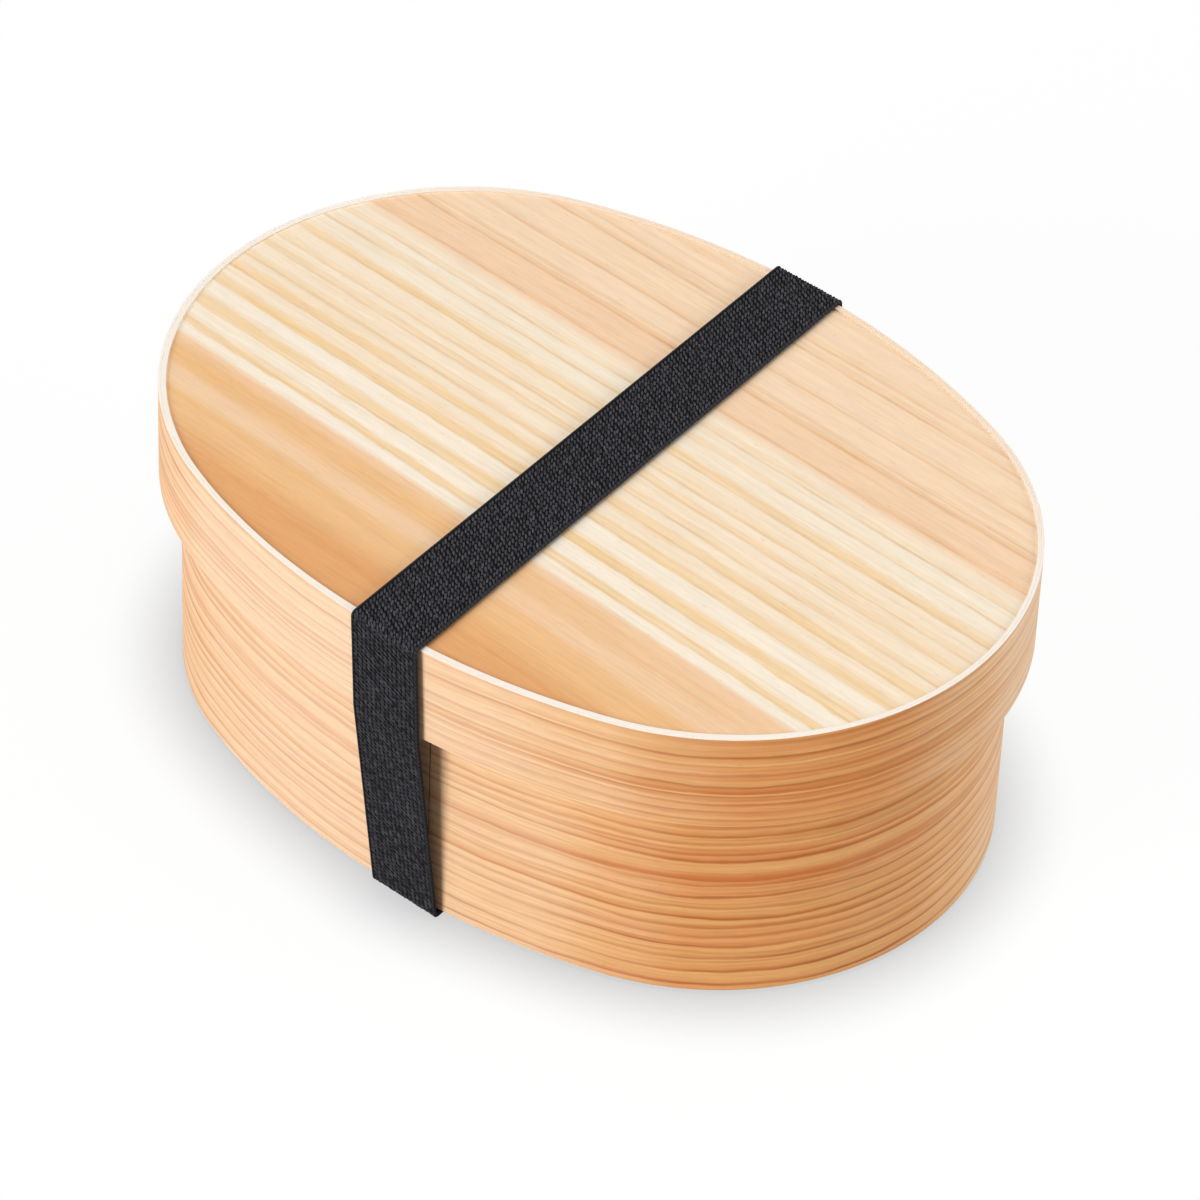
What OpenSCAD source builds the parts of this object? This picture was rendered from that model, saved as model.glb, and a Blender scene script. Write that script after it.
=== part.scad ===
// Oval bentwood lunch box: a hooped base, an overlapping hooped lid and an elastic band.
// Millimetres. The long axis lies along X, the seen long side faces -Y, and the box stands on Z = 0.

/* [Lid] */
// Length of the lid over its veneer
lid_length = 180; // [150:1:220]
// Width of the lid over its veneer
lid_width = 129.6; // [112:0.2:140]
// Radius of the lid's long sides, over the veneer
lid_side_radius = 148.8; // [130:0.2:180]
// Height of the lid's wall
lid_wall_height = 21; // [15:0.5:30]
// Thickness of the lid board
lid_board_thickness = 4; // [3:0.5:6]
// How far the lid board lies below the rim
lid_board_recess = 0.4; // [0.2:0.1:1]

/* [Base] */
// Height of the base from its lower edge to its rim
base_height = 61.6; // [50:0.2:80]
// Thickness of the base board
base_board_thickness = 4; // [3:0.5:6]
// How far the base board lies above the base's lower edge
base_board_recess = 1; // [0.5:0.1:3]

/* [Bent plies] */
// Thickness of the cedar face veneer
veneer_thickness = 0.5; // [0.4:0.1:0.8]
// Thickness of the pale bent hoop
hoop_thickness = 1; // [0.8:0.1:2.4]
// Thickness of the inner lining
lining_thickness = 2.2; // [1.2:0.1:2.8]
// Glue line between a board's edge and its hoop
board_edge_gap = 0.1; // [0.05:0.05:0.3]
// Clearance between the lid's lining and the base's veneer
lid_clearance = 0.6; // [0.4:0.1:1]
// Gap where the two ends of a veneer meet
veneer_seam_gap = 0.2; // [0.1:0.05:0.4]
// Place of the base veneer's seam along the front, from the middle
base_seam_x = 13; // [8:0.5:18]
// Place of the lid veneer's seam along the front, from the middle
lid_seam_x = 5; // [2:0.5:8]

/* [Band] */
// Width of the elastic band
band_width = 15.9; // [12:0.1:25]
// Thickness of the elastic band
band_thickness = 0.9; // [0.8:0.1:1.6]
// Place of the band's middle along the box, at half the band's height
band_x = 3.1; // [0:0.1:6]
// Turn of the band about the upright, from square across the box
band_skew = 3.8; // [0:0.1:5]
// Lean of the band from upright, its top run towards -X
band_lean = 2.4; // [0:0.1:3]
// Inner radius of the band where it turns over an edge
band_corner_radius = 0.3; // [0.2:0.05:0.35]
// Gap between the band and the walls where they are widest
band_wall_gap = 0.15; // [0.1:0.05:0.3]
// Gap between the band and the rims it lies on
band_rim_gap = 0.1; // [0.05:0.05:0.2]
// Length of the lap where the band's ends are sewn together
band_lap_length = 15; // [10:0.5:20]
// Height of the lap's lower end above the table
band_lap_height = 27; // [24:0.5:30]

/* [Stitching] */
// Thickness of the sewing thread
thread_thickness = 0.5; // [0.3:0.05:0.7]
// Number of stitched rows across the lap
stitch_rows = 3; // [2:1:4]
// Number of stitches in a row
stitches_per_row = 6; // [4:1:7]
// Length of one stitch
stitch_length = 1.6; // [1:0.1:1.8]

/* [Divider] */
// Thickness of the divider
divider_thickness = 3.6; // [3:0.2:6]
// Height of the divider
divider_height = 48; // [30:1:52]
// Gap between each end of the divider and the wall, at the middle of the box
divider_end_gap = 1.3; // [0.9:0.1:2]
// Place of the divider along the box
divider_x = 15; // [5:0.5:16]
// Radius of the divider's corners
divider_corner_radius = 3; // [1:0.5:6]
// Gap under the divider
divider_seat_gap = 0.1; // [0.05:0.05:0.2]

/* [Hidden] */
$fn = 96;
margin = 1;

// The wall of the lid and of the base, and the base's setback from the lid's face
wall = veneer_thickness + hoop_thickness + lining_thickness;
base_inset = wall + lid_clearance;
board_inset = veneer_thickness + hoop_thickness + board_edge_gap;

// The four arcs of the oval: end circles about (+-end_x, 0) and side circles about (0, +-side_y)
half_length = lid_length / 2;
half_width = lid_width / 2;
side_y = lid_side_radius - half_width;
lid_end_radius = (2 * lid_side_radius * half_width - half_length ^ 2 - half_width ^ 2)
    / (2 * (lid_side_radius - half_length));
end_x = half_length - lid_end_radius;

// Heights above the table, from the band's underside up
base_z = band_thickness + band_rim_gap;
base_board_z = base_z + base_board_recess;
base_floor_z = base_board_z + base_board_thickness;
base_rim_z = base_z + base_height;
lid_board_top_z = base_rim_z + lid_board_thickness;
lid_rim_z = lid_board_top_z + lid_board_recess;
lid_edge_z = lid_rim_z - lid_wall_height;
band_top_z = lid_rim_z + band_rim_gap;
band_middle_z = (band_top_z + band_thickness) / 2;

// The band's section is drawn as distances from the box's middle plane
band_lid_y = half_width + band_wall_gap;
band_base_y = band_lid_y - base_inset;

// The centres that the band turns about, over the lid's rim and under the base's foot
rim_turn = [band_lid_y - band_corner_radius, band_top_z - band_corner_radius];
foot_turn = [band_base_y - band_corner_radius, band_thickness + band_corner_radius];
slant_angle = atan(base_inset / (lid_edge_z - foot_turn.y));

// Where the slanted run starts at the foot, and its distance out at height z, grown out from its inner face
function foot_point(grow) = foot_turn + (band_corner_radius + grow) * [cos(slant_angle), -sin(slant_angle)];
function slant_y(z, grow) = let (foot = foot_point(grow), top = [band_lid_y + grow, lid_edge_z])
    foot.x + (top.x - foot.x) * (z - foot.y) / (top.y - foot.y);

// The divider stops where its ends meet the narrowing walls
divider_length = lid_width - 2 * (base_inset + wall + divider_end_gap);

// The oval outline, drawn in from the lid's face by inset
module oval(inset) {
    end_r = lid_end_radius - inset;
    side_r = lid_side_radius - inset;
    join_x = end_x * side_r / (lid_side_radius - lid_end_radius);
    intersection() {
        translate([0, side_y]) circle(side_r);
        translate([0, -side_y]) circle(side_r);
        square([2 * join_x, lid_width], center = true);
    }
    for (x = [-end_x, end_x]) translate([x, 0]) circle(end_r);
}

// A bent ply: the ring between two insets, from z over height
module bent_ply(inset, thickness, z, height) {
    translate([0, 0, z]) linear_extrude(height) difference() {
        oval(inset);
        oval(inset + thickness);
    }
}

// A veneer: a bent ply whose two ends meet at a seam on the front
module veneer(inset, z, height, seam_x) {
    difference() {
        bent_ply(inset, veneer_thickness, z, height);
        translate([seam_x - veneer_seam_gap / 2, -lid_width, z - margin])
            cube([veneer_seam_gap, lid_width, height + 2 * margin]);
    }
}

module board(inset, z, thickness) {
    translate([0, 0, z]) linear_extrude(thickness) oval(inset);
}

module base_board() {
    color("burlywood") board(base_inset + board_inset, base_board_z, base_board_thickness);
}

module base_hoop() {
    color("antiquewhite") bent_ply(base_inset + veneer_thickness, hoop_thickness, base_z, base_height);
}

module base_lining() {
    color("wheat") bent_ply(
        base_inset + veneer_thickness + hoop_thickness, lining_thickness,
        base_floor_z, base_rim_z - base_floor_z
    );
}

module base_veneer() {
    color("sandybrown") veneer(base_inset, base_z, base_height, base_seam_x);
}

module lid_board() {
    color("navajowhite") board(board_inset, base_rim_z, lid_board_thickness);
}

module lid_hoop() {
    color("antiquewhite") bent_ply(veneer_thickness, hoop_thickness, lid_edge_z, lid_wall_height);
}

module lid_lining() {
    color("wheat") bent_ply(
        veneer_thickness + hoop_thickness, lining_thickness,
        lid_edge_z, base_rim_z - lid_edge_z
    );
}

module lid_veneer() {
    color("sandybrown") veneer(0, lid_edge_z, lid_wall_height, lid_seam_x);
}

// A board across the box with rounded corners, standing on the base board
module divider() {
    half = divider_length / 2 - divider_corner_radius;
    low = divider_corner_radius;
    high = divider_height - divider_corner_radius;
    color("burlywood")
        translate([divider_x - divider_thickness / 2, 0, base_floor_z + divider_seat_gap])
        rotate([90, 0, 90]) linear_extrude(divider_thickness) {
            translate([-half, 0]) square([2 * half, divider_height]);
            translate([-divider_length / 2, low]) square([divider_length, high - low]);
            for (y = [-half, half], z = [low, high]) translate([y, z]) circle(divider_corner_radius);
        }
}

// What the band wraps on one side of the box, grown out from the band's inner face
module band_wrap(grow) {
    turn_r = band_corner_radius + grow;
    foot = foot_point(grow);
    polygon([
        [-band_width, rim_turn.y + turn_r],
        [rim_turn.x, rim_turn.y + turn_r],
        [rim_turn.x + turn_r, rim_turn.y],
        [rim_turn.x + turn_r, lid_edge_z],
        foot,
        [foot_turn.x, foot_turn.y - turn_r],
        [-band_width, foot_turn.y - turn_r]
    ]);
    for (turn = [rim_turn, foot_turn]) translate(turn) circle(turn_r);
}

module band_section() {
    difference() {
        band_wrap(band_thickness);
        band_wrap(0);
    }
}

// The part of the section over the lid's lower edge, and the part under it
module band_section_over() {
    intersection() {
        band_section();
        translate([0, lid_edge_z]) square(lid_length);
    }
}

module band_section_under() {
    intersection() {
        band_section();
        translate([0, lid_edge_z - lid_length]) square(lid_length);
    }
}

// The lapped end inside the slanted run, joined to it through half its thickness
module band_section_lap() {
    top = band_lap_height + band_lap_length;
    polygon([
        for (z = [band_lap_height, top]) [slant_y(z, band_thickness / 2), z],
        for (z = [top, band_lap_height]) [slant_y(z, 0) - band_thickness, z]
    ]);
}

// Runs a section along one long side of the box: side is -1 at the front and 1 at the back
module along_side(side) {
    rotate([0, 0, side < 0 ? 180 : 0]) rotate([90, 0, 90])
        linear_extrude(lid_length, center = true) children();
}

// Keeps what lies within the band's width on one half of the box
module band_strip(side, width) {
    reach = lid_length;
    intersection() {
        children();
        rotate([0, 0, band_skew])
            translate([band_x * cos(band_skew), 0, band_middle_z])
            rotate([0, -band_lean, 0])
            cube([width, 2 * reach, 2 * reach], center = true);
        translate([-reach, side < 0 ? -reach : 0, -margin]) cube([2 * reach, reach, 2 * reach]);
    }
}

module band_over_lid() {
    color("dimgray") for (side = [-1, 1])
        band_strip(side, band_width) along_side(side) band_section_over();
}

module band_under_base() {
    color("dimgray") {
        for (side = [-1, 1]) band_strip(side, band_width) along_side(side) band_section_under();
        band_strip(1, band_width) along_side(1) band_section_lap();
    }
}

// Half-round stitches in rows on the outside of the lap
module band_stitching() {
    pitch = band_width / stitches_per_row;
    color("black") for (row = [0 : stitch_rows - 1], i = [0 : stitches_per_row - 1]) {
        z = band_lap_height + band_lap_length * (row + 0.5) / stitch_rows;
        middle_x = band_x - half_width * tan(band_skew) - (z - band_middle_z) * tan(band_lean);
        x = middle_x + (i - (stitches_per_row - 1) / 2) * pitch;
        translate([x, slant_y(z, band_thickness), z])
            rotate([90, 0, 90]) linear_extrude(stitch_length, center = true)
            rotate(-slant_angle) intersection() {
                circle(thread_thickness / 2);
                translate([0, -thread_thickness]) square(2 * thread_thickness);
            }
    }
}

base_board();
base_hoop();
base_lining();
base_veneer();
lid_board();
lid_hoop();
lid_lining();
lid_veneer();
divider();
band_over_lid();
band_under_base();
band_stitching();
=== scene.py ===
"""Oval bentwood lunch box with a striped lid board, a pale rim and a black elastic band."""

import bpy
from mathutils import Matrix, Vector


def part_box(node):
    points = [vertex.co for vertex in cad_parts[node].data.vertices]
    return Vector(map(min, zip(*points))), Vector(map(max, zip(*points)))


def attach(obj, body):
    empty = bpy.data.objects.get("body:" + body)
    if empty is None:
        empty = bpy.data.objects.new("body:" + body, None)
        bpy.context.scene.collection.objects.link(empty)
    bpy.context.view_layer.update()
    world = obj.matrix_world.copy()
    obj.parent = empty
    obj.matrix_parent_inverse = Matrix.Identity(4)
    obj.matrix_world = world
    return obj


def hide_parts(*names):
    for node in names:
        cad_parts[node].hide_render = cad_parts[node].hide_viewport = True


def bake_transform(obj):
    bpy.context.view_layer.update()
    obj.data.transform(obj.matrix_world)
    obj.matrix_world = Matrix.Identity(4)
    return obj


bl_info = {
    "name": "Bentwood Lunch Box",
    "version": (1, 0, 0),
    "blender": (4, 5, 0),
    "location": "View3D > Sidebar > Lunch Box",
    "description": "Dresses an oval bentwood lunch box and its elastic band",
    "category": "Object",
}

import math

import bpy
import numpy as np
from bpy.props import FloatProperty, FloatVectorProperty, IntProperty, PointerProperty
from mathutils import Matrix, Vector

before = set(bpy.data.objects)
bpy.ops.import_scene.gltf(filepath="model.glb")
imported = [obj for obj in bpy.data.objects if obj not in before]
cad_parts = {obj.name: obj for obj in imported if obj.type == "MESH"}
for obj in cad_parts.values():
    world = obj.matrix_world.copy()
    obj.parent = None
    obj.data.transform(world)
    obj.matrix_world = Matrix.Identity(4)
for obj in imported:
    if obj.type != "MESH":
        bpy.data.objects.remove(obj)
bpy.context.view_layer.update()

MM = 0.001
GRAIN_MAP = "grain"


def low_z(node):
    """The height of a node's underside, in metres."""
    return round(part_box(node)[0].z, 6)


def high_z(node):
    """The height of a node's top, in metres."""
    return round(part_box(node)[1].z, 6)


def linear(red, green, blue):
    """A colour given as it looks on a screen, 0 to 255, as linear light."""
    shares = [channel / 255 for channel in (red, green, blue)]
    return tuple(s / 12.92 if s <= 0.04045 else ((s + 0.055) / 1.055) ** 2.4 for s in shares)


def length_prop(name, description, size_mm):
    """A length, given in millimetres and kept in metres."""
    return FloatProperty(
        name=name, description=description, default=size_mm * MM, precision=5, unit="LENGTH"
    )


def angle_prop(name, description, degrees):
    """An angle, given in degrees and kept in radians."""
    return FloatProperty(name=name, description=description, default=math.radians(degrees), subtype="ANGLE")


def number_prop(name, description, value, unit="NONE"):
    """A plain number or a power."""
    return FloatProperty(name=name, description=description, default=value, unit=unit)


def count_prop(name, description, count):
    """A count of at least one."""
    return IntProperty(name=name, description=description, default=count, min=1)


def colour_prop(name, description, *screen):
    """A colour, given as it looks on a screen."""
    return FloatVectorProperty(
        name=name, description=description, default=linear(*screen), size=3, min=0, max=1, subtype="COLOR"
    )


# Sizes and colours that a user would change


class BentwoodSizes(bpy.types.PropertyGroup):
    """Sizes of the oval, its bent plies and its boards"""

    lid_length: length_prop("Lid length", "Length of the lid over its veneer", 180)
    lid_width: length_prop("Lid width", "Width of the lid over its veneer", 129.6)
    side_radius: length_prop("Side radius", "Radius of the lid's long sides", 148.8)
    veneer: length_prop("Veneer", "Thickness of the cedar face veneer", 0.5)
    hoop: length_prop("Hoop", "Thickness of the pale bent hoop", 1)
    lining: length_prop("Lining", "Thickness of the inner lining", 2.2)
    board_edge_gap: length_prop("Board edge gap", "Glue line round the base board", 0.03)
    lid_clearance: length_prop("Lid clearance", "Gap between the lid's lining and the base", 0.6)
    seam_gap: length_prop("Seam gap", "Gap where the two ends of a veneer meet", 0.2)
    base_seam_x: length_prop("Base seam", "Place of the base veneer's seam along the front", 13)
    lid_seam_x: length_prop("Lid seam", "Place of the lid veneer's seam along the front", 5)
    ply_easing: length_prop("Ply easing", "Rounding of the plies' sanded edges", 0.08)
    board_easing: length_prop("Board easing", "Rounding of the boards' edges", 0.12)
    divider_corner: length_prop("Divider corner", "Radius of the divider's corners", 3)
    divider_easing: length_prop("Divider easing", "Rounding of the divider's edges", 0.6)
    step: length_prop("Step", "Distance between points round the oval", 1.2)


class WoodColours(bpy.types.PropertyGroup):
    """Colours of the woods"""

    heart_dark: colour_prop("Heartwood, edge", "Heartwood by the board's front edge", 231, 171, 116)
    heart: colour_prop("Heartwood", "Brown heartwood of the lid board", 241, 194, 142)
    heart_pale: colour_prop("Heartwood, pale", "Pinkish pale zone in the heartwood", 245, 207, 168)
    sap_white: colour_prop("Sapwood, white", "Whitest growth of the lid board", 251, 238, 218)
    sap_pale: colour_prop("Sapwood, pale", "Paler growth by the peach wood", 249, 234, 211)
    sap_cream: colour_prop("Sapwood, cream", "Cream growth of the lid board", 250, 231, 205)
    sap_yellow: colour_prop("Sapwood, yellow", "Yellow late growth of the lid board", 246, 213, 164)
    peach: colour_prop("Peach", "Peach wood towards the lid board's back", 249, 220, 188)
    peach_deep: colour_prop("Peach, deep", "Deeper peach wood next to the sapwood", 247, 212, 178)
    peach_late: colour_prop("Peach, late", "Late growth in the peach wood", 242, 198, 154)
    board_line: colour_prop("Board line", "Thin dark growth lines of the lid board", 205, 156, 104)
    cedar_pale: colour_prop("Cedar, pale", "Palest ground of the bent veneers", 253, 223, 190)
    cedar: colour_prop("Cedar", "Middle ground of the bent veneers", 254, 208, 160)
    # Cedar, brown is also painted shade, where the browning ramp darkens a wall that faces away from the
    # lamps
    cedar_brown: colour_prop("Cedar, brown", "Brownest ground of the bent veneers", 246, 175, 111)
    cedar_honey: colour_prop("Cedar, honey", "Yellow zones of the bent veneers", 249, 196, 124)
    cedar_late: colour_prop("Cedar, late", "Orange late growth of the bent veneers", 214, 116, 54)
    cedar_line: colour_prop("Cedar, line", "Thin dark growth lines of the bent veneers", 170, 85, 38)
    rim: colour_prop("Rim", "Pale edge of the bent hoops", 252, 243, 232)
    lining: colour_prop("Lining", "Plain wood inside the box", 240, 208, 165)
    lining_line: colour_prop("Lining line", "Growth lines of the plain wood", 214, 168, 116)


class BandSizes(bpy.types.PropertyGroup):
    """Sizes and colours of the elastic band"""

    width: length_prop("Width", "Width of the elastic band", 15.9)
    thickness: length_prop("Thickness", "Thickness of the elastic band", 0.9)
    middle_x: length_prop("Middle", "Place of the band's middle along the box, at half its height", 3.1)
    skew: angle_prop("Skew", "Turn of the band about the upright", 3.8)
    lean: angle_prop("Lean", "Lean of the band from upright", 2.4)
    corner_radius: length_prop("Corner", "Inner radius where the band turns over an edge", 0.3)
    wall_gap: length_prop("Wall gap", "Gap between the band and the walls where they are widest", 0.15)
    rim_gap: length_prop("Rim gap", "Gap between the band and the rim", 0.1)
    lap_low: length_prop("Lap height", "Height of the sewn lap's lower end", 27)
    lap_length: length_prop("Lap length", "Length of the sewn lap", 15)
    selvage: length_prop("Selvage", "Width of the smooth edge on each side", 0.6)
    yarn_sink: length_prop("Yarn sink", "Depth of the ground below the yarn", 0.28)
    rib: length_prop("Rib", "Height of the ribs between the wales", 0.1)
    wale_pitch: length_prop("Wale pitch", "Distance between stitches across the band", 1.02)
    course_pitch: length_prop("Course pitch", "Distance between stitches along the band", 1.0)
    yarn_length: length_prop("Yarn length", "Length of one yarn float", 1.9)
    yarn_width: length_prop("Yarn width", "Width of one yarn float", 0.62)
    yarn_slant: angle_prop("Yarn slant", "Turn of a yarn float from square across the band", -48)
    slant_spread: angle_prop("Slant spread", "How far a float's own slant may differ", 8)
    stitch_rows: count_prop("Stitch rows", "Sewn rows on the lap", 3)
    stitches: count_prop("Stitches", "Stitches in a row", 6)
    stitch_length: length_prop("Stitch length", "Length of one stitch", 1.6)
    thread: length_prop("Thread", "Thickness of the sewing thread", 0.5)
    # The near-black ground is partly painted shade: it darkens the pits between the yarn floats beyond the
    # yarn's own charcoal
    ground: colour_prop("Ground", "Dark ground between the yarn floats", 7, 7, 9)
    yarn: colour_prop("Yarn", "Charcoal yarn", 38, 38, 41)
    yarn_light: colour_prop("Yarn, light", "Lighter charcoal yarn", 80, 79, 84)


class StageSettings(bpy.types.PropertyGroup):
    """Camera, light and floor"""

    azimuth: angle_prop("Azimuth", "Camera's turn from the front", 39.27)
    elevation: angle_prop("Elevation", "Camera's height over the horizon", 40.95)
    roll: angle_prop("Roll", "Camera's turn about its own line of sight", 2.6)
    distance: length_prop("Distance", "Camera's distance from its target", 1314.1)
    target: FloatVectorProperty(
        name="Target",
        description="Point that the camera looks at",
        default=(0.0017, 0.0009, 0.0306),
        size=3,
        precision=4,
        subtype="XYZ",
        unit="LENGTH",
    )
    lens: number_prop("Lens", "Focal length in millimetres", 208.0)
    sensor: number_prop("Sensor", "Width of the camera's sensor in millimetres", 36.0)
    key_power: number_prop("Key", "Power of the soft lamp before the box", 77.0, "POWER")
    top_power: number_prop("Top", "Power of the soft lamp overhead", 38.5, "POWER")
    edge_power: number_prop("Edge", "Power of the lamp behind the right end", 43.0, "POWER")
    sky: number_prop("Sky", "Strength of the even light from all round", 0.18)
    floor: colour_prop("Floor", "Colour of the floor as it is seen", 254, 254, 254)
    floor_bounce: colour_prop("Floor bounce", "Colour of the floor as it lights the box", 156, 154, 150)
    floor_glow: number_prop("Floor glow", "Share of the floor that no lamp's shadow reaches", 0.93)
    # The dark edge is a painted contact shadow in the floor's glow
    contact_reach: length_prop("Contact reach", "Reach of the dark edge round the box's foot", 16)
    contact_level: number_prop("Contact level", "Light left at that edge", 0.66)


# Helpers for node trees and finishes


class Wiring:
    """Nodes added to a tree: each method adds some and returns an output socket."""

    def __init__(self, tree):
        self.tree = tree

    def feed(self, socket, value):
        """Links a socket, or sets a plain value. A colour gets full opacity."""
        if isinstance(value, bpy.types.NodeSocket):
            self.tree.links.new(value, socket)
        elif socket.type == "RGBA":
            socket.default_value = (*value, 1.0)
        else:
            socket.default_value = value

    def node(self, kind, inputs, output=0, **settings):
        """Adds a node with its settings and inputs."""
        made = self.tree.nodes.new(kind)
        for key, value in settings.items():
            setattr(made, key, value)
        for key, value in inputs.items():
            self.feed(made.inputs[key], value)
        return made.outputs[output]

    def math(self, operation, first, *others):
        """A sum on values, taken from left to right."""
        for other in others or (0.0,):
            first = self.node("ShaderNodeMath", {0: first, 1: other}, operation=operation)
        return first

    def join(self, x, y, z):
        """A vector from three values."""
        return self.node("ShaderNodeCombineXYZ", {0: x, 1: y, 2: z})

    def split(self, vector):
        """The three values of a vector."""
        return self.node("ShaderNodeSeparateXYZ", {0: vector}).node.outputs[:]

    def seen(self):
        """1 where a point is seen, straight, mirrored or through something clear, and otherwise 0."""
        rays = self.node("ShaderNodeLightPath", {}).node.outputs
        kinds = ("Camera", "Glossy", "Transmission")
        return self.math("MAXIMUM", *(rays[f"Is {kind} Ray"] for kind in kinds))


class Finish(Wiring):
    """A material under construction. Noise is given by the length and width of its spots in millimetres,
    along and across the grain, and by a shift that makes it differ from the others."""

    def __init__(self, name):
        self.material = bpy.data.materials.new(name)
        self.material.use_nodes = True
        super().__init__(self.material.node_tree)
        self.shader = self.tree.nodes["Principled BSDF"]

    def object_place(self):
        """A point's place on the object, in metres."""
        return self.split(self.node("ShaderNodeTexCoord", {}, "Object"))

    def grain_place(self):
        """The distance along and across the grain of a bent strip, in metres."""
        return self.split(self.node("ShaderNodeUVMap", {}, uv_map=GRAIN_MAP))[:2]

    def speckle(self, along, across, long, wide, shift, detail=2.0):
        """Noise from 0 to 1."""
        spots_along = self.math("DIVIDE", along, long * MM)
        spots_across = self.math("DIVIDE", across, wide * MM)
        place = self.join(spots_along, spots_across, shift)
        return self.node("ShaderNodeTexNoise", {"Vector": place, "Scale": 1.0, "Detail": detail})

    def patches(self, along, across, long, wide, shift, between, to=(0.0, 1.0), detail=2.0):
        """Patches of noise, whose levels between two are brought to a range."""
        return self.range(self.speckle(along, across, long, wide, shift, detail), *between, *to)

    def sway(self, along, across, long, wide, shift, reach):
        """A smooth wander of the grain, up to about half of reach each way."""
        spots = self.speckle(along, across, long, wide, shift, 1.0)
        return self.math("MULTIPLY", self.math("SUBTRACT", spots, 0.5), reach)

    def ramp(self, factor, stops, interpolation="LINEAR"):
        """A ramp through stops of (place, colour or grey level)."""
        made = self.node("ShaderNodeValToRGB", {0: factor}).node
        made.color_ramp.interpolation = interpolation
        elements = made.color_ramp.elements
        while len(elements) < len(stops):
            elements.new(1.0)
        for element, (place, colour) in zip(elements, sorted(stops)):
            element.position = place
            element.color = (*(colour if hasattr(colour, "__len__") else (colour,) * 3), 1.0)
        return made.outputs[0]

    def range(self, value, low, high, to_low=0.0, to_high=1.0):
        """A value brought from one range to another, held at its ends."""
        inputs = {0: value, 1: low, 2: high, 3: to_low, 4: to_high}
        return self.node("ShaderNodeMapRange", inputs, clamp=True)

    def blend(self, factor, first, second, mode="MIX"):
        """Two colours mixed."""
        inputs = {0: factor, 6: first, 7: second}
        return self.node("ShaderNodeMix", inputs, 2, data_type="RGBA", blend_type=mode)

    def shade(self, colour, level):
        """A colour times a level of light."""
        return self.blend(1.0, colour, self.join(level, level, level), "MULTIPLY")

    def lighten(self, colour, noise, low, high):
        """A colour made darker or lighter by a noise, most of which lies between 0.25 and 0.75."""
        return self.shade(colour, self.range(noise, 0.25, 0.75, low, high))

    def fibres(self, colour, along, across, fine_levels, coarse_levels):
        """A wood's colour with fine and coarse fibres along its grain, and the fine ones' noise."""
        fine = self.speckle(along, across, 9, 0.16, 3.1, 3.0)
        coarse = self.speckle(along, across, 5, 0.5, 7.7, 3.0)
        return self.lighten(self.lighten(colour, fine, *fine_levels), coarse, *coarse_levels), fine

    def flecks(self, colour, along, across, depth, dark):
        """A wood's colour with short dark flecks scattered along the grain."""
        spots = self.patches(along, across, 2.2, 0.3, 11.3, between=(0.72, 0.8), to=(0.0, depth), detail=1.0)
        return self.blend(spots, colour, dark)

    def done(self, colour, noise, roughness, depth, gloss):
        """Wires the shader. A noise, mostly from 0.3 to 0.7, gives its roughness, and bumps of a depth in
        millimetres."""
        bumps = {"Height": noise, "Strength": 1.0, "Distance": depth * MM}
        inputs = {
            "Base Color": colour,
            "Roughness": self.range(noise, 0.3, 0.7, *roughness),
            "Specular IOR Level": gloss,
            "Normal": self.node("ShaderNodeBump", bumps),
        }
        for key, value in inputs.items():
            self.feed(self.shader.inputs[key], value)
        return self.material


# Growth rings, listed in millimetres as (place of the dark line, reach of the soft late growth beside it,
# depth of the late growth, depth of the line). A reach below 0 lies before the line. The lid board's are
# places across the board from its middle, and the walls' are heights over a wall's lower edge.

LID_BOARD_RINGS = [
    (-27.7, 2.4, 0.95, 0.35), (-21.9, 3.6, 1, 0.35), (-14.7, 3, 0.95, 0.3), (-8.9, 2.8, 0.95, 0.4),
    (-4.2, 2, 0.55, 0.4), (0.8, 2.2, 0.6, 0.3), (4.6, 2, 0.45, 0.4), (9.6, 2.6, 0.85, 0.4),
    (15.7, 1.6, 0.45, 0.45), (19.8, 1.6, 0.45, 0.45), (25.4, 1.6, 0.4, 0.45), (33.1, 1.6, 0.6, 0.6),
    (35, 1, 0.3, 0.3), (41.4, 1.6, 0.35, 0.45), (50.3, 1.9, 0.4, 0.6), (53.2, 1.5, 0.3, 0.3),
]
LID_WALL_RINGS = [
    (1.5, -1.3, 0.3, 0.3), (3.6, -1.6, 0.4, 0.5), (5.5, -1.5, 0.4, 0.4), (7.2, -1.4, 0.8, 0.5),
    (8.3, -0.9, 1, 0.5), (9.8, -1.4, 1, 0.6), (12.5, -2.3, 0.6, 0.55), (14.6, -1.3, 0.3, 0.2),
    (16.8, -2, 0.7, 0.9), (18.4, -1, 0.3, 0.2), (20.4, -1.4, 0.4, 0.5),
]
BASE_WALL_RINGS = [
    (1.7, 1.6, 0.5, 1), (5.1, 1.9, 0.5, 0.95), (8.4, 1.8, 0.5, 0.9), (11.4, 1.6, 0.5, 0.8),
    (14, 1.5, 0.5, 0.75), (16.4, 1.4, 0.6, 0.75), (18.6, 1.9, 0.9, 0.8), (21.4, 1.4, 0.4, 0.45),
    (24, 1.5, 0.6, 0.8), (26.8, 1, 0.9, 0.3), (28, 2.4, 1, 0.4), (32.6, 1.3, 0.8, 0.75),
    (34.2, 1.6, 0.9, 0.4), (36.6, 1.4, 0.6, 0.5), (38.6, 1.5, 0.7, 0.7), (40.7, 1.2, 0.3, 0.3),
    (42.4, 1.3, 0.4, 0.3), (44.3, 1.6, 0.5, 0.45), (47.2, 1.6, 0.5, 0.6), (50, 1.6, 0.5, 0.5),
    (53, 1.8, 0.6, 0.7), (56, 1.6, 0.4, 0.5), (59, 1.8, 0.5, 0.7),
]
# A ramp holds at most 32 stops, and a ring takes 6
RINGS_PER_RAMP = 5
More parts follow.
